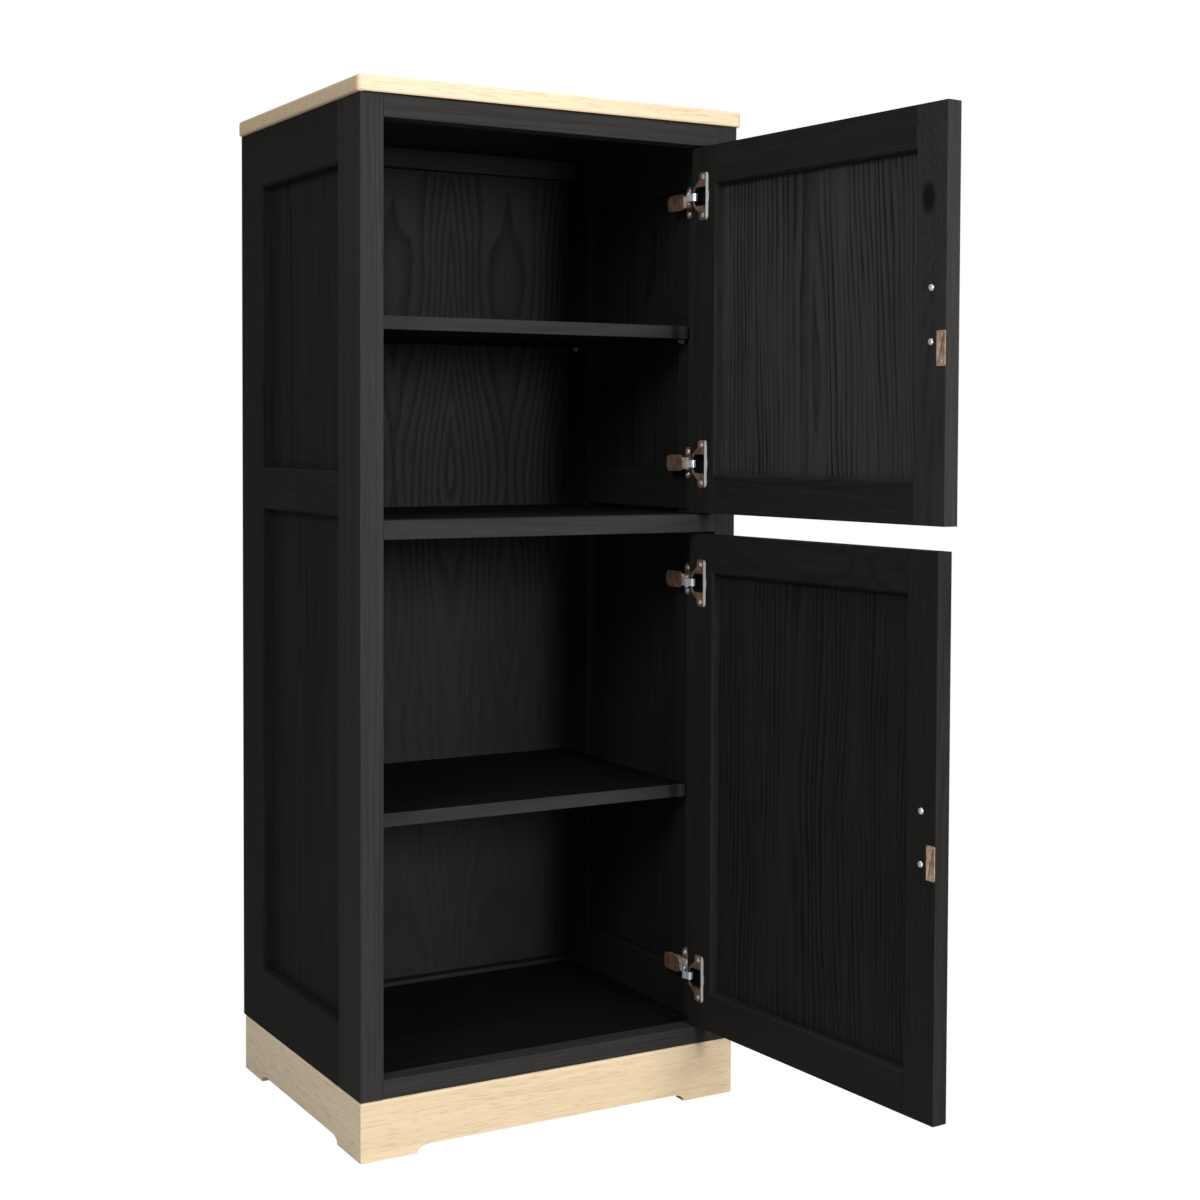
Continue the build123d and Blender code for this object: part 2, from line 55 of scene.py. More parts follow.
class Flow:
    def __init__(self, bench, socket):
        self.bench = bench
        self.socket = socket

    def join(self, operation, other, swapped=False):
        first, second = (other, self) if swapped else (self, other)
        return self.bench.make("ShaderNodeMath", {"operation": operation}, {0: first, 1: second})

    def __add__(self, other):
        return self.join("ADD", other)

    def __sub__(self, other):
        return self.join("SUBTRACT", other)

    def __mul__(self, other):
        return self.join("MULTIPLY", other)

    def __radd__(self, other):
        return self.join("ADD", other, True)

    def __rsub__(self, other):
        return self.join("SUBTRACT", other, True)

    def __rmul__(self, other):
        return self.join("MULTIPLY", other, True)


class Bench:
    def __init__(self, name):
        self.material = bpy.data.materials.new(name)
        self.material.use_nodes = True
        self.tree = self.material.node_tree
        self.tree.nodes.clear()

    def make(self, kind, settings=None, sockets=None, out=0):
        node = self.tree.nodes.new(kind)
        for key, value in (settings or {}).items():
            setattr(node, key, value)
        for key, value in (sockets or {}).items():
            if isinstance(value, Flow):
                self.tree.links.new(value.socket, node.inputs[key])
            elif isinstance(value, tuple) and len(value) == 3 and len(node.inputs[key].default_value) == 4:
                node.inputs[key].default_value = (*value, 1.0)
            else:
                node.inputs[key].default_value = value
        return Flow(self, node.outputs[out])

    def blend(self, factor, first, second):  # colour mix
        settings = {"data_type": "RGBA"}
        return self.make("ShaderNodeMix", settings, {0: factor, 6: first, 7: second}, 2)

    def step(self, value, low, high):  # smooth step from 0 to 1
        settings = {"interpolation_type": "SMOOTHSTEP"}
        return self.make("ShaderNodeMapRange", settings, {"Value": value, 1: low, 2: high})

    def noise(self, vector, scale, detail=2.0, rough=0.5):
        sockets = {"Vector": vector, "Scale": scale, "Detail": detail, "Roughness": rough}
        return self.make("ShaderNodeTexNoise", {}, sockets)

    def surface(self, colour, roughness, metallic=0.0, normal=None, **constants):
        sockets = {"Base Color": colour, "Roughness": roughness, "Metallic": metallic}
        if normal is not None:
            sockets["Normal"] = normal
        for key, value in constants.items():
            sockets[key.replace("_", " ")] = value
        shader = self.make("ShaderNodeBsdfPrincipled", {}, sockets)
        output = self.tree.nodes.new("ShaderNodeOutputMaterial")
        self.tree.links.new(shader.socket, output.inputs["Surface"])
        return self.material


# the doors are drawn shut and turned open with the joint's own numbers

def doorTurn(door):
    joint = joints[door + "_swing"]
    pivot = Vector(joint["pos_m"])
    opened = -math.radians(joint["range_deg"][0])
    return Matrix.Translation(pivot) @ Matrix.Rotation(opened, 4, "Z") @ Matrix.Translation(-pivot)


def shutBox(node, door):  # box of a door's node as it lies with the door shut
    back = doorTurn(door).inverted()
    places = [back @ corner.co for corner in nodes[node].data.vertices]
    low = Vector([min(place[i] for place in places) for i in range(3)])
    high = Vector([max(place[i] for place in places) for i in range(3)])
    return low, high


# wood

blackStain = {
    "deep": (0.0060, 0.0059, 0.0058),  # late wood, where the stain lies thickest
    "open": (0.0185, 0.0180, 0.0172),  # early wood
    "streak": (0.036, 0.035, 0.033),  # worn pores that catch the light
    "ringsPerMetre": 150.0,
    "ringWander": 0.010,
    "streakAcross": 800.0,
    "streakAlong": 12.0,
    "streakShare": 0.30,
    "roughness": 0.60,
    "relief": 0.00025,
    "figure": 0.35,
    "gloss": 0.03,
}
blackPanel = dict(blackStain, ringsPerMetre=125.0, ringWander=0.016, figure=0.85, roughness=0.6)
litFrontStain = dict(blackStain, deep=(0.0100, 0.0098, 0.0095), open=(0.0300, 0.0290, 0.0275),
                 streak=(0.054, 0.052, 0.049))  # painted light: a lighter copy of the stain for the front-facing boards and edges, the rear top rail and the latch stile, where more light falls
litUpperPanel = dict(blackPanel, open=(0.042, 0.042, 0.039), streak=(0.070, 0.070, 0.066))  # painted light: the upper door's panel gets a lighter copy of the panel stain, standing in for the greater light that falls on it
blondWood = {
    "deep": (0.50, 0.36, 0.212),
    "open": (0.690, 0.545, 0.365),
    "streak": (0.46, 0.32, 0.175),
    "ringsPerMetre": 60.0,
    "ringWander": 0.02,
    "streakAcross": 520.0,
    "streakAlong": 34.0,
    "streakShare": 0.55,
    "roughness": 0.45,
    "relief": 0.0002,
    "figure": 0.22,
    "gloss": 0.35,
}
# painted light: a lighter copy of the blond lacquer for the plinth's left board, standing in for more light on
# that side
litSideBlond = dict(blondWood, deep=(0.75, 0.57, 0.36), open=(0.95, 0.79, 0.56), streak=(0.60, 0.44, 0.27))
# painted shade: a darker copy of the stain for the shelves and boards, which lie in shade inside the case
shadedShelfStain = dict(blackStain, deep=(0.0030, 0.0030, 0.0030), open=(0.0080, 0.0078, 0.0075),
                  streak=(0.014, 0.0135, 0.013))
plyVeneer = dict(blackStain, deep=(0.0045, 0.0045, 0.0043), open=(0.0200, 0.0200, 0.0190),
                 streak=(0.030, 0.030, 0.028), figure=0.6, streakAcross=520.0, roughness=0.6)
woodGrain = {  # scales per metre across and along the grain
    "offset": 3.0,
    "pithNear": 0.035,  # heart of the tree, from the middle of the board
    "pithFar": 0.075,
    "lean": 0.03,
    "slowAcross": 6.0,
    "slowAlong": 1.6,
    "driftAcross": 28.0,
    "driftAlong": 2.2,
    "driftRings": 2.6,  # how many rings the uneven growth moves them by
    "broadAcross": 90.0,
    "broadAlong": 2.5,
    "knotStretch": 0.55,
    "knotDepth": 0.15,
    "knotPull": 1.9,  # how far a knot pushes the rings aside, in its own sizes
    "knotShade": 0.85,
    "late": (0.25, 0.9),  # where in a ring the late wood starts and is fullest
    "even": (0.30, 0.62),  # drift between which the late wood fades out
    "pores": (0.52, 0.68),
}
veneerGrain = {
    "repeat": 0.19,  # width of one mirrored pair of leaves
    "slowAcross": 7.0,
    "slowAlong": 1.7,
    "wiggleAcross": 30.0,
    "wiggleAlong": 12.0,
    "swellRings": 13.0,
    "rings": 46.0,
    "wiggleRings": 0.8,
    "figureFrom": -0.12,  # heights between which the figure comes up, from the middle of the board
    "figureTo": 0.10,
}
boards = {
    "darkSeed": 11,
    "veneerSeed": 5,
    "blondSeed": 70,
    "blondPith": (0.05, 0.35),
    "litFrontDepth": 0.0016,  # how far the painted light on a shelf's front edge reaches in
    "slabStainUp": 0.0006,  # the deep black under the slab: how far up it, and how far in from its ends
    "slabDarkIn": 0.008,
}
bigKnots = {  # place across, through and along the board from its middle, and size
    "upper_door_latch_stile": (0.004, 0.011, -0.112, 0.034),  # along is from the top end
    "lower_door_top_rail": (0.0, 0.0, -0.11, 0.012),
}


def alongGrain(bench, along, centre, turn=0.0):  # two ways across the grain, then the way along it
    place = bench.make("ShaderNodeTexCoord", out="Object")
    centred = bench.make("ShaderNodeMapping", {"vector_type": "TEXTURE"},
                         {"Vector": place, "Location": centre, "Rotation": (0.0, 0.0, turn)})
    parts = bench.make("ShaderNodeSeparateXYZ", {}, {0: centred})
    x, y, z = (Flow(bench, parts.socket.node.outputs[i]) for i in range(3))
    return {"x": (y, z, x), "y": (x, z, y), "z": (x, y, z)}[along]


def boardWood(name, finish, along, centre, seed, turn=0.0, knots=(), pith=None, darkBelow=None,
              litFrontLimit=None):
    bench = Bench(name)
    first, second, run = alongGrain(bench, along, centre, turn)
    rng = random.Random(seed)
    offset = [rng.uniform(-woodGrain["offset"], woodGrain["offset"]) for _ in range(3)]
    if pith is None:
        away = rng.uniform(woodGrain["pithNear"], woodGrain["pithFar"])
        heading = rng.uniform(0.0, 2.0 * math.pi)
        pith = (away * math.cos(heading), away * math.sin(heading))
    lean = rng.uniform(-woodGrain["lean"], woodGrain["lean"])
    slow = bench.make("ShaderNodeCombineXYZ", {}, {
        0: first * woodGrain["slowAcross"] + offset[0], 1: second * woodGrain["slowAcross"] + offset[1],
        2: run * woodGrain["slowAlong"] + offset[2]})
    wander = bench.noise(slow, 1.0, 2.0) - 0.5
    acrossFirst = first - pith[0] + run * lean + wander * (finish["ringWander"] * 3.0)
    acrossSecond = second - pith[1] + wander * (finish["ringWander"] * 2.0)
    radius = bench.make("ShaderNodeMath", {"operation": "SQRT"},
                        {0: acrossFirst * acrossFirst + acrossSecond * acrossSecond})
    knotShade = None
    for knotFirst, knotSecond, knotRun, size in knots:
        dx, dy, dz = first - knotFirst, second - knotSecond, (run - knotRun) * woodGrain["knotStretch"]
        apart = dx * dx + dy * dy * woodGrain["knotDepth"] + dz * dz
        gap = bench.make("ShaderNodeMath", {"operation": "SQRT"}, {0: apart})
        pull = bench.make("ShaderNodeMath", {"operation": "EXPONENT"}, {0: gap * (-1.0 / size)})
        radius = radius + pull * (size * woodGrain["knotPull"])
        core = 1.0 - bench.step(gap, size * 0.18, size * 0.42)
        knotShade = core if knotShade is None else knotShade + core
    driftCoords = bench.make("ShaderNodeCombineXYZ", {}, {
        0: first * woodGrain["driftAcross"] + offset[1], 1: second * woodGrain["driftAcross"],
        2: run * woodGrain["driftAlong"] + offset[2]})
    drift = bench.noise(driftCoords, 1.0, 2.0, 0.55)
    ring = radius * finish["ringsPerMetre"] + drift * woodGrain["driftRings"]
    phase = bench.make("ShaderNodeMath", {"operation": "FRACT"}, {0: ring})
    lateFrom, lateTo = woodGrain["late"]
    late = bench.step(phase, lateFrom, lateTo) * (1.0 - bench.step(phase, lateTo, 1.0))
    late = late * bench.step(drift, *woodGrain["even"])
    fineCoords = bench.make("ShaderNodeCombineXYZ", {}, {
        0: first * finish["streakAcross"] + offset[1], 1: second * finish["streakAcross"],
        2: run * finish["streakAlong"] + offset[0]})
    pores = bench.noise(fineCoords, 1.0, 2.0, 0.6)
    broadCoords = bench.make("ShaderNodeCombineXYZ", {}, {
        0: first * woodGrain["broadAcross"] + offset[2], 1: second * woodGrain["broadAcross"],
        2: run * woodGrain["broadAlong"]})
    broad = bench.noise(broadCoords, 1.0, 3.0, 0.55)
    cloud = bench.noise(slow, 0.8, 2.0)
    poreMask = bench.step(pores, *woodGrain["pores"])
    lightness = (1.0 - late * finish["figure"]) * (0.55 + broad * 0.7) * (0.75 + cloud * 0.5)
    colour = bench.blend(lightness, finish["deep"], finish["open"])
    colour = bench.blend(poreMask * finish["streakShare"], colour, finish["streak"])
    if knotShade is not None:
        heart = tuple(part * 0.5 for part in finish["deep"])
        colour = bench.blend(knotShade * woodGrain["knotShade"], colour, heart)
    if darkBelow is not None:  # the part of the slab's underside that shows inside the case is coloured deep black
        level, half = darkBelow
        under = bench.make("ShaderNodeMath", {"operation": "LESS_THAN"}, {0: second, 1: level})
        side = bench.make("ShaderNodeMath", {"operation": "ABSOLUTE"}, {0: run})
        inside = bench.make("ShaderNodeMath", {"operation": "LESS_THAN"}, {0: side, 1: half})
        colour = bench.blend(under * inside, colour, blackStain["deep"])
    if litFrontLimit is not None:  # painted light: the front edge of a shelf gets the lighter front stain
        edge = bench.make("ShaderNodeMath", {"operation": "LESS_THAN"}, {0: first, 1: litFrontLimit})
        litFrontColour = bench.blend(lightness, litFrontStain["deep"], litFrontStain["open"])
        colour = bench.blend(edge, colour, litFrontColour)
    height = pores * 0.5 + (1.0 - late) * 0.2 * finish["figure"] + broad * 0.3
    normal = bench.make("ShaderNodeBump", {}, {"Strength": 0.5, "Distance": finish["relief"], "Height": height})
    rough = finish["roughness"] + (pores - 0.5) * 0.25 + late * -0.05
    return bench.surface(colour, rough, 0.0, normal, Specular_IOR_Level=finish["gloss"])


def veneer(name, finish, centre, seed):
    bench = Bench(name)
    first, second, run = alongGrain(bench, "z", centre)
    rng = random.Random(seed)
    offset = rng.uniform(-4.0, 4.0)
    leaf = veneerGrain["repeat"] / 2.0
    mirrored = bench.make("ShaderNodeMath", {"operation": "PINGPONG"}, {0: first + 1.0, 1: leaf})
    slow = bench.make("ShaderNodeCombineXYZ", {}, {
        0: mirrored * veneerGrain["slowAcross"] + offset, 1: second * 2.0, 2: run * veneerGrain["slowAlong"]})
    swell = bench.noise(slow, 1.0, 1.5, 0.4)
    wiggleCoords = bench.make("ShaderNodeCombineXYZ", {}, {
        0: first * veneerGrain["wiggleAcross"], 1: 0.0, 2: run * veneerGrain["wiggleAlong"] + offset})
    wiggle = bench.noise(wiggleCoords, 1.0, 2.0)
    ring = swell * veneerGrain["swellRings"] + mirrored * veneerGrain["rings"]
    ring = ring + wiggle * veneerGrain["wiggleRings"]
    phase = bench.make("ShaderNodeMath", {"operation": "FRACT"}, {0: ring})
    late = bench.step(phase, 0.2, 0.85) * (1.0 - bench.step(phase, 0.85, 1.0))
    fineCoords = bench.make("ShaderNodeCombineXYZ", {}, {
        0: first * finish["streakAcross"], 1: second * 50.0, 2: run * finish["streakAlong"]})
    pores = bench.noise(fineCoords, 1.0, 2.0, 0.6)
    shown = bench.step(run, veneerGrain["figureFrom"], veneerGrain["figureTo"]) * 0.7 + 0.3
    lightness = (1.0 - late * shown * finish["figure"]) * (0.6 + pores * 0.7)
    colour = bench.blend(lightness, finish["deep"], finish["open"])
    colour = bench.blend(bench.step(pores, 0.55, 0.7) * finish["streakShare"], colour, finish["streak"])
    height = pores * 0.5 + (1.0 - late) * 0.4
    normal = bench.make("ShaderNodeBump", {}, {"Strength": 0.4, "Distance": finish["relief"], "Height": height})
    return bench.surface(colour, finish["roughness"] + (pores - 0.5) * 0.2, 0.0, normal,
                         Specular_IOR_Level=finish["gloss"])


def dress(node, material):  # gives a CAD node its material
    mesh = nodes[node].data
    mesh.materials.clear()
    mesh.materials.append(material)


def middleOf(node):
    low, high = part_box(node)
    return (low + high) / 2


def boardGrain(node):  # which way the grain of a board runs
    if node.endswith(("_post", "_stile", "_panel", "_strips")):
        return "z"
    if node.startswith("plinth_left") or node.startswith("plinth_right"):
        return "y"
    if node.startswith(("left_", "right_")):
        return "y"
    return "x"


def nodesIn(*slots):
    return [item["node"] for item in frame["record"]["subparts"] if item["material_slot"] in slots]


darkBoards = nodesIn("black_wood", "dark_plywood")
blondBoards = nodesIn("blond_wood")
for number, node in enumerate(sorted(darkBoards)):
    middle = tuple(middleOf(node))
    door = next((word for word in ("upper_door", "lower_door") if node.startswith(word)), None)
    turn = -math.radians(joints[door + "_swing"]["range_deg"][0]) if door else 0.0
    finish = blackPanel if node.endswith("_panel") else blackStain
    # painted light: the upper door's panel gets the lighter panel stain, standing in for the light on it
    if node == "upper_door_panel":
        finish = litUpperPanel
    # painted light: front boards, the rear top rail and the upper door's latch stile get the lighter stain,
    # standing in for the light on them
    if "front" in node or node in ("rear_top_rail", "upper_door_latch_stile"):
        finish = litFrontStain
    litFrontLimit = None
    if node.endswith(("_shelf", "_board")):  # painted shade on their tops and painted light on their front edges: their tops are darker than their front edges
        finish = shadedShelfStain
        low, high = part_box(node)
        litFrontLimit = (low.y - high.y) / 2 + boards["litFrontDepth"]
    knots = ()
    if node == "back_panel":
        dress(node, veneer(node + "_ply", plyVeneer, middle, boards["veneerSeed"]))
        continue
    if node in bigKnots:
        across, through, lengthwise, size = bigKnots[node]
        if boardGrain(node) == "z":
            low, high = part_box(node)
            lengthwise = (high.z - low.z) / 2 + lengthwise
        knots = ((across, through, lengthwise, size),)
    stained = boardWood(node + "_stain", finish, boardGrain(node), middle, number + boards["darkSeed"], turn,
                        knots, litFrontLimit=litFrontLimit)
    dress(node, stained)
for number, node in enumerate(sorted(blondBoards)):
    darkBelow = None
    if node == "top_slab":
        low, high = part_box(node)
        rise, length = high.z - low.z, high.x - low.x
        darkBelow = (-rise / 2 + boards["slabStainUp"], length / 2 - boards["slabDarkIn"])
    # painted light: the plinth's left board gets the lighter blond
    finish = litSideBlond if node == "plinth_left_board" else blondWood
    lacquered = boardWood(node + "_lacquer", finish, boardGrain(node), tuple(middleOf(node)),
                          number + boards["blondSeed"], pith=boards["blondPith"], darkBelow=darkBelow)
    dress(node, lacquered)
print("wood is on", len(darkBoards) + len(blondBoards), "boards")


# metals and plastics

metals = {
    "hinge_bronze": {"dark": (0.24, 0.135, 0.090), "bright": (0.50, 0.33, 0.24), "rough": 0.30, "brush": 420.0},
    "pull_bronze": {"dark": (0.07, 0.034, 0.020), "bright": (0.34, 0.195, 0.12), "rough": 0.34, "brush": 300.0},
    "catch_plate_bronze": {"dark": (0.46, 0.30, 0.21), "bright": (0.78, 0.58, 0.44), "rough": 0.32,
                           "brush": 500.0},
    "hinge_chrome": {"dark": (0.74, 0.73, 0.80), "bright": (1.0, 1.0, 1.0), "rough": 0.18, "brush": 260.0},
    "screw_steel": {"dark": (0.70, 0.70, 0.69), "bright": (1.0, 1.0, 0.99), "rough": 0.24, "brush": 600.0},
    "pin_steel": {"dark": (0.35, 0.35, 0.35), "bright": (0.66, 0.66, 0.66), "rough": 0.3, "brush": 600.0},
}
plating = {
    "patinaScale": 90.0,
    "patina": (0.33, 0.62),
    "brushStretch": 0.06,
    "brushShare": 0.3,
}
metalShare = 0.6  # lacquered metal, part mirror and part colour
cupShade = (0.012, 0.011, 0.012)  # painted shade: the cups are dark below their rims, standing in for the shade in their hollows
cupGlint = (0.97, 0.95, 0.93)  # painted highlight: a near-white band along the far edge of the flange, where the bevel catches the light
glintBand = (0.0331, 0.0335)  # where it starts, from the edge of the door


def plated(name, look, cup=None):
    bench = Bench(name)
    place = bench.make("ShaderNodeTexCoord", out="Object")
    patina = bench.noise(place, plating["patinaScale"], 4.0, 0.6)
    stretched = {"Vector": place, "Scale": (1.0, 1.0, plating["brushStretch"])}
    long = bench.make("ShaderNodeMapping", {}, stretched)
    brushed = bench.noise(long, look["brush"] * 4.0, 2.0, 0.5)
    wear = bench.step(patina, *plating["patina"])
    colour = bench.blend(wear, look["dark"], look["bright"])
    colour = bench.blend(brushed * plating["brushShare"], colour, look["dark"])
    normal = bench.make("ShaderNodeBump", {}, {"Strength": 0.15, "Distance": 0.0001, "Height": brushed})
    rough = look["rough"] + (1.0 - wear) * 0.12 + (brushed - 0.5) * 0.1
    if cup is not None:  # a point on the door's edge, the way out of its face and the way in from its edge
        point, outward, inward = cup
        offset = bench.make("ShaderNodeVectorMath", {"operation": "SUBTRACT"}, {0: place, 1: point})
        above = bench.make("ShaderNodeVectorMath", {"operation": "DOT_PRODUCT"}, {0: offset, 1: outward}, 1)
        sunk = 1.0 - bench.step(above, -0.0006, 0.0006)
        across = bench.make("ShaderNodeVectorMath", {"operation": "DOT_PRODUCT"}, {0: offset, 1: inward}, 1)
        # painted highlight along the flange's far edge
        colour = bench.blend(bench.step(across, glintBand[0], glintBand[1]), colour, cupGlint)
        # painted shade inside the cup, below the door's face
        colour = bench.blend(sunk, colour, cupShade)
        rough = rough + sunk * 0.3
    return bench.surface(colour, rough, metalShare, normal)


def moulded(name, colour, rough):
    bench = Bench(name)
    place = bench.make("ShaderNodeTexCoord", out="Object")
    grain = bench.noise(place, 1800.0, 2.0)
    mottle = bench.noise(place, 60.0, 3.0)
    tint = bench.blend(mottle * 0.5, colour, tuple(part * 1.6 for part in colour))
    normal = bench.make("ShaderNodeBump", {}, {"Strength": 0.3, "Distance": 0.0001, "Height": grain})
    return bench.surface(tint, rough + (grain - 0.5) * 0.15, 0.0, normal)


metalMaterials = {slot: plated(slot + "_plating", look) for slot, look in metals.items()}
catchPlastic = moulded("catch_case", (0.03, 0.022, 0.018), 0.45)
for item in frame["record"]["subparts"]:
    if item["material_slot"] in metalMaterials:
        dress(item["node"], metalMaterials[item["material_slot"]])
    elif item["material_slot"] == "catch_plastic":
        dress(item["node"], catchPlastic)
for door in ("upper_door", "lower_door"):
    low, high = shutBox(door + "_hinge_stile", door)
    turned = doorTurn(door)
    point = turned @ Vector((high.x, high.y, low.z))
    outward = turned.to_3x3() @ Vector((0.0, 1.0, 0.0))
    inward = turned.to_3x3() @ Vector((-1.0, 0.0, 0.0))
    cup = (point[:], outward[:], inward[:])
    dress(door + "_hinge_cups", plated(door + "_cup_plating", metals["hinge_bronze"], cup))
print("metal and plastic are on")


screws = {
    "facets": 28,
    "shankShare": 0.5,  # shank radius as a share of the head's
    "recessReach": 0.46,  # half length of the cross, as a share of the head's radius
    "recessWidth": 0.13,
    "recessDepth": 0.5,  # as a share of the head's height, or of the least depth below
    "leastDepth": 0.0012,
    "shoulder": 0.4,  # height of the head's upright edge, as a share of its height
    "dome": (0.87, 0.82),  # a point on the dome, as shares of radius and height
    "flat": 0.62,  # radius of the flat top
    "smoothBelow": 32.0,  # degrees
    "onDoors": (("pull_screws", 0.0040, 0.0022), ("cup_screws", 0.0033, 0.0006)),  # head radius, proud
    "onPlates": 0.0036,
}
screwTurns = random.Random(31)


def markDone(shape):
    for item in list(shape.verts) + list(shape.edges) + list(shape.faces):
        item.tag = True


def crossScrew(shape, place, radius, height, shank):  # domed head with a cross recess, +Z out of the wood
    outline = [(0.0, -shank), (radius * screws["shankShare"], -shank), (radius * screws["shankShare"], 0.0),
               (radius, 0.0), (radius, height * screws["shoulder"]),
               (radius * screws["dome"][0], height * screws["dome"][1]), (radius * screws["flat"], height)]
    verts = [shape.verts.new((x, 0.0, z)) for x, z in outline]
    edges = [shape.edges.new(pair) for pair in zip(verts, verts[1:])]
    bmesh.ops.spin(shape, geom=verts + edges, cent=(0.0, 0.0, 0.0), axis=(0.0, 0.0, 1.0),
                   angle=2.0 * math.pi, steps=screws["facets"], use_merge=True)
    made = [vert for vert in shape.verts if not vert.tag]
    bmesh.ops.remove_doubles(shape, verts=made, dist=1e-7)
    top = [edge for edge in shape.edges if edge.is_boundary and not edge.tag]
    reach, half = radius * screws["recessReach"], radius * screws["recessWidth"]
    corners = [(reach, -half), (reach, half), (half, half), (half, reach), (-half, reach), (-half, half),
               (-reach, half), (-reach, -half), (-half, -half), (-half, -reach), (half, -reach),
               (half, -half)]
    cross = [shape.verts.new((x, y, height)) for x, y in corners]
    rim = [shape.edges.new((cross[i], cross[i - 1])) for i in range(len(cross))]
    bmesh.ops.triangle_fill(shape, edges=top + rim, use_beauty=True)
    walls = bmesh.ops.extrude_edge_only(shape, edges=rim)["geom"]
    sunk = [item for item in walls if isinstance(item, bmesh.types.BMVert)]
    depth = max(height, screws["leastDepth"]) * screws["recessDepth"]
    bmesh.ops.translate(shape, verts=sunk, vec=(0.0, 0.0, -depth))
    wallEdges = [item for item in walls if isinstance(item, bmesh.types.BMEdge)]
    bottom = [edge for edge in wallEdges if edge.verts[0] in sunk and edge.verts[1] in sunk]
    bmesh.ops.contextual_create(shape, geom=bottom)
    fresh = [vert for vert in shape.verts if not vert.tag]
    turn = Matrix.Rotation(screwTurns.uniform(0.0, math.pi), 4, "Z")
    bmesh.ops.transform(shape, matrix=place @ turn, verts=fresh)
    markDone(shape)


def finishPiece(name, shape, material, body, slot, *stoodFor):  # mesh to object, riding on its body
    bmesh.ops.recalc_face_normals(shape, faces=shape.faces)
    mesh = bpy.data.meshes.new(name)
    shape.to_mesh(mesh)
    shape.free()
    mesh.materials.append(material)
    for polygon in mesh.polygons:
        polygon.use_smooth = True
    mesh.set_sharp_from_angle(angle=math.radians(screws["smoothBelow"]))
    piece = bpy.data.objects.new(name, mesh)
    bpy.context.scene.collection.objects.link(piece)
    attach(piece, body)
    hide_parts(*stoodFor)


def outOf(face, way):  # a place on a surface, its +Z the way out
    return Matrix.Translation(face) @ way.to_track_quat("Z", "Y").to_matrix().to_4x4()


def islands(node):  # corners of each separate solid of a node, the lowest solid first
    mesh = nodes[node].data
    shape = bmesh.new()
    shape.from_mesh(mesh)
    bmesh.ops.remove_doubles(shape, verts=shape.verts, dist=1e-6)
    left = set(shape.verts)
    groups = []
    while left:
        pending = [left.pop()]
        group = list(pending)
        while pending:
            for edge in pending.pop().link_edges:
                for vert in edge.verts:
                    if vert in left:
                        left.remove(vert)
                        pending.append(vert)
                        group.append(vert)
        groups.append([vert.co.copy() for vert in group])
    shape.free()
    return sorted(groups, key=lambda group: sum(co.z for co in group) / len(group))


def doorScrews(door, kind, headRadius, proud):
    node = door + "_" + kind
    turned = doorTurn(door)
    back = turned.inverted()
    shape = bmesh.new()
    for group in islands(node):
        places = [back @ co for co in group]
        low = Vector([min(place[i] for place in places) for i in range(3)])
        high = Vector([max(place[i] for place in places) for i in range(3)])
        face = Vector(((low.x + high.x) / 2, high.y - proud, (low.z + high.z) / 2))
        place = turned @ outOf(face, Vector((0.0, 1.0, 0.0)))
        crossScrew(shape, place, headRadius, proud, face.y - low.y)
    finishPiece(node + "_crossed", shape, metalMaterials["screw_steel"], door, "screw_steel", node)


for door in ("upper_door", "lower_door"):
    for kind, headRadius, proud in screws["onDoors"]:
        doorScrews(door, kind, headRadius, proud)
shape = bmesh.new()
for group in islands("hinge_plate_screws"):
    low = Vector([min(co[i] for co in group) for i in range(3)])
    high = Vector([max(co[i] for co in group) for i in range(3)])
    face = Vector((high.x, (low.y + high.y) / 2, (low.z + high.z) / 2))
    crossScrew(shape, outOf(face, Vector((-1.0, 0.0, 0.0))), screws["onPlates"], high.x - low.x, 0.0)
finishPiece("hinge_plate_screws_crossed", shape, metalMaterials["screw_steel"], "case", "screw_steel",
            "hinge_plate_screws")

catchPlate = {
    "corner": 0.0015,
    "rim": 0.0026,
    "sunk": 0.0004,
    "rivetFromEnd": 0.0052,
    "rivetRadius": 0.0016,
}


def rimmedPlate(door):  # catch plate with a raised rim and two small screws
    node = door + "_catch_plate"
    low, high = shutBox(node, door)
    size, middle = high - low, (low + high) / 2
    shape = bmesh.new()
    solid = Matrix.Translation(middle) @ Matrix.Diagonal((*size, 1.0))
    bmesh.ops.create_cube(shape, size=1.0, matrix=solid)
    upright = [edge for edge in shape.edges if abs(edge.verts[0].co.y - edge.verts[1].co.y) > size.y / 2]
    bmesh.ops.bevel(shape, geom=upright, offset=catchPlate["corner"], affect="EDGES", segments=4, profile=0.5,
                    material=-1)
    top = [face for face in shape.faces if face.calc_center_median().y > high.y - 1e-5]
    bmesh.ops.inset_region(shape, faces=top, thickness=catchPlate["rim"] * 0.35, depth=0.0)
    bmesh.ops.inset_region(shape, faces=top, thickness=catchPlate["rim"] * 0.65, depth=0.0)
    bmesh.ops.translate(shape, verts=list({vert for face in top for vert in face.verts}),
                        vec=(0.0, -catchPlate["sunk"], 0.0))
    turned = doorTurn(door)
    bmesh.ops.transform(shape, matrix=turned, verts=shape.verts)
    markDone(shape)
    for side in (low.z + catchPlate["rivetFromEnd"], high.z - catchPlate["rivetFromEnd"]):
        face = Vector((middle.x, high.y - catchPlate["sunk"], side))
        crossScrew(shape, turned @ outOf(face, Vector((0.0, 1.0, 0.0))), catchPlate["rivetRadius"],
                   catchPlate["sunk"], 0.0)
    finishPiece(node + "_rimmed", shape, metalMaterials["catch_plate_bronze"], door, "catch_plate_bronze",
                node)


for door in ("upper_door", "lower_door"):
    rimmedPlate(door)
print("screws and catch plates are in place")


# floor, light and camera

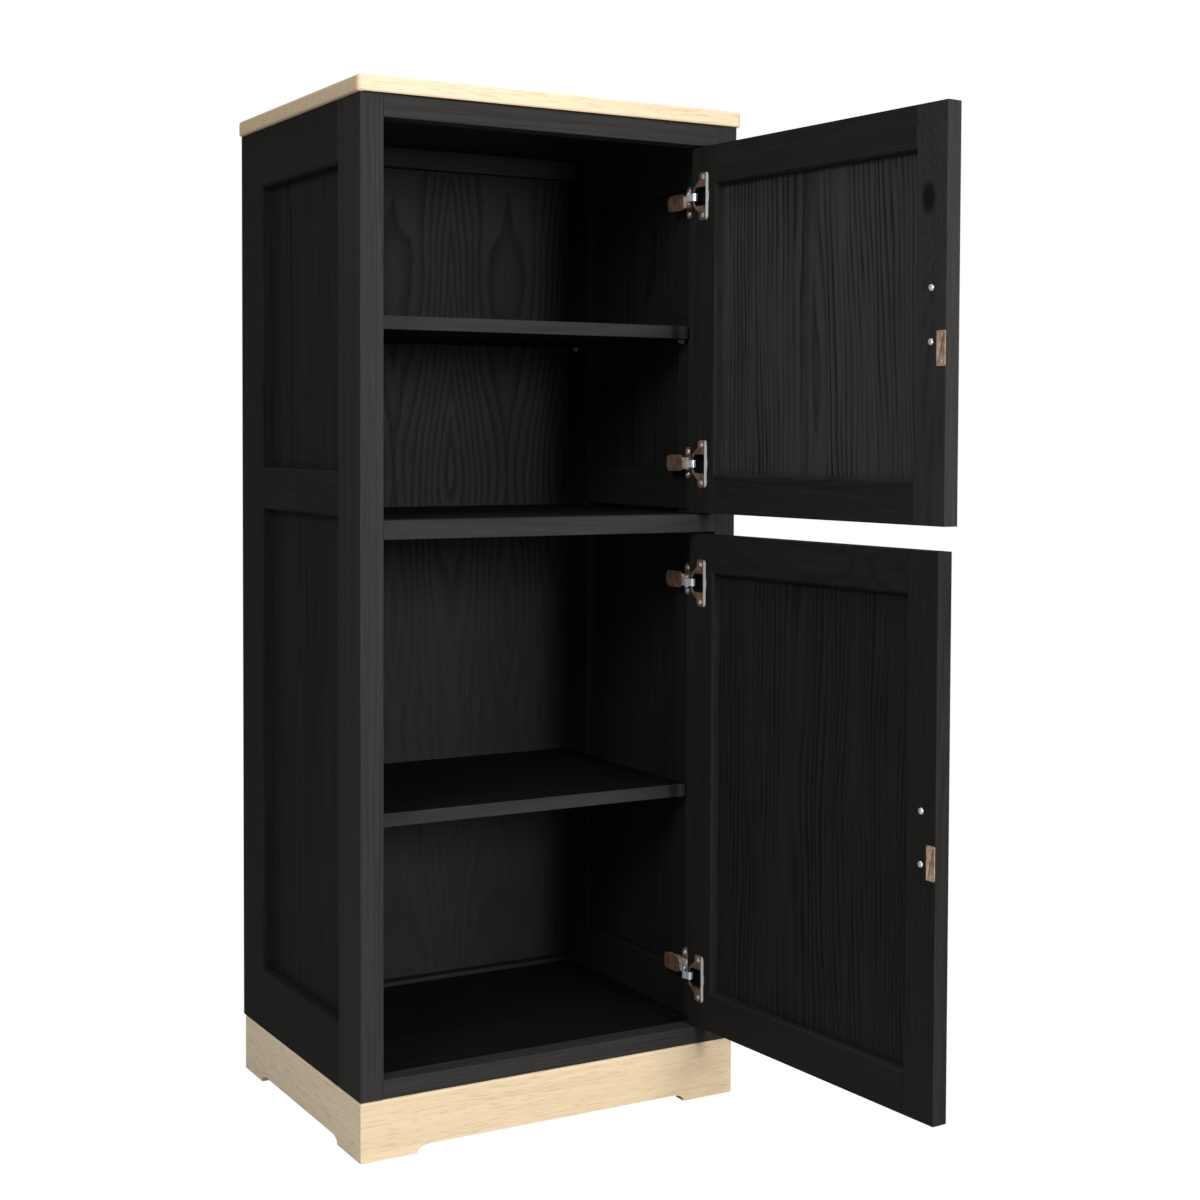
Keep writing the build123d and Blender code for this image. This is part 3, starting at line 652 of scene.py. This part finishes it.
studio = {
    "floorSize": 14.0,
    "floorColour": (0.45, 0.45, 0.445),  # what the floor throws back on the object
    "airLight": 0.20,  # what the white surroundings give to the object
    "airSeen": 1.0,  # and how white they look
    "lights": (  # name, from, towards, power, size
        ("front_light", (0.55, -4.6, 1.55), (0.0, -0.2, 0.75), 182.0, 1.4),
        ("left_light", (-2.6, -2.4, 2.5), (0.25, -0.6, 1.15), 50.0, 1.6),
        ("top_light", (0.0, -0.8, 4.2), (0.0, -0.4, 0.0), 85.0, 3.0),
    ),
}


def pointAt(thing, origin, target):
    thing.location = origin
    thing.rotation_mode = "QUATERNION"
    thing.rotation_quaternion = (target - origin).to_track_quat("-Z", "Y")


def softLight(name, origin, target, power, size):
    data = bpy.data.lights.new(name, "AREA")
    data.shape = "DISK"
    data.size = size
    data.energy = power
    light = bpy.data.objects.new(name, data)
    bpy.context.scene.collection.objects.link(light)
    pointAt(light, Vector(origin), Vector(target))


def layFloor():
    shape = bmesh.new()
    bmesh.ops.create_grid(shape, x_segments=1, y_segments=1, size=studio["floorSize"] / 2)
    mesh = bpy.data.meshes.new("studio_floor")
    shape.to_mesh(mesh)
    shape.free()
    floor = bpy.data.objects.new("studio_floor", mesh)
    bpy.context.scene.collection.objects.link(floor)
    bench = Bench("studio_paper")
    place = bench.make("ShaderNodeTexCoord", out="Object")
    tint = bench.blend(bench.noise(place, 3.0) * 0.1, studio["floorColour"], (0.5, 0.5, 0.5))
    mesh.materials.append(bench.surface(tint, 0.85, Specular_IOR_Level=0.1))
    paper = bench.tree.nodes["Principled BSDF"]
    rays = bench.tree.nodes.new("ShaderNodeLightPath")  # to the eye the floor is as white as the air
    glow = bench.make("ShaderNodeEmission", {}, {"Color": (1.0, 1.0, 1.0), "Strength": studio["airSeen"]})
    mixed = bench.make("ShaderNodeMixShader", {}, {0: Flow(bench, rays.outputs["Is Camera Ray"]),
                                                   1: Flow(bench, paper.outputs[0]), 2: glow})
    bench.tree.links.new(mixed.socket, bench.tree.nodes["Material Output"].inputs["Surface"])


def lightWorld():
    world = bpy.data.worlds.new("studio_air")
    world.use_nodes = True
    tree = world.node_tree
    rays = tree.nodes.new("ShaderNodeLightPath")
    strength = tree.nodes.new("ShaderNodeMapRange")
    strength.inputs["To Min"].default_value = studio["airLight"]
    strength.inputs["To Max"].default_value = studio["airSeen"]
    tree.links.new(rays.outputs["Is Camera Ray"], strength.inputs["Value"])
    tree.links.new(strength.outputs[0], tree.nodes["Background"].inputs["Strength"])
    tree.nodes["Background"].inputs["Color"].default_value = (1.0, 1.0, 1.0, 1.0)
    bpy.context.scene.world = world
    bpy.context.scene.view_settings.view_transform = "Standard"


layFloor()
lightWorld()
for light in studio["lights"]:
    softLight(*light)

view = {
    "place": (-1.22069, -2.67123, 0.92558),
    "yaw": 29.738,  # degrees from straight ahead, to the right
    "pitch": -2.061,
    "roll": -0.225,
    "lens": 58.058,
    "shift": -0.080,
}


def placeCamera():
    data = bpy.data.cameras.new("camera")
    data.lens = view["lens"]
    data.sensor_width = 36.0
    data.shift_y = view["shift"]
    data.clip_end = 60.0
    camera = bpy.data.objects.new("camera", data)
    bpy.context.scene.collection.objects.link(camera)
    yaw, pitch, roll = (math.radians(view[key]) for key in ("yaw", "pitch", "roll"))
    ahead = Vector((math.sin(yaw) * math.cos(pitch), math.cos(yaw) * math.cos(pitch), math.sin(pitch)))
    level = Vector((math.cos(yaw), -math.sin(yaw), 0.0))
    down = ahead.cross(level)
    right = level * math.cos(roll) + down * math.sin(roll)
    up = right.cross(ahead)
    turned = Matrix((right, up, -ahead)).transposed().to_4x4()
    camera.matrix_world = Matrix.Translation(Vector(view["place"])) @ turned
    bpy.context.scene.camera = camera


placeCamera()
print("floor, lights and camera are set")
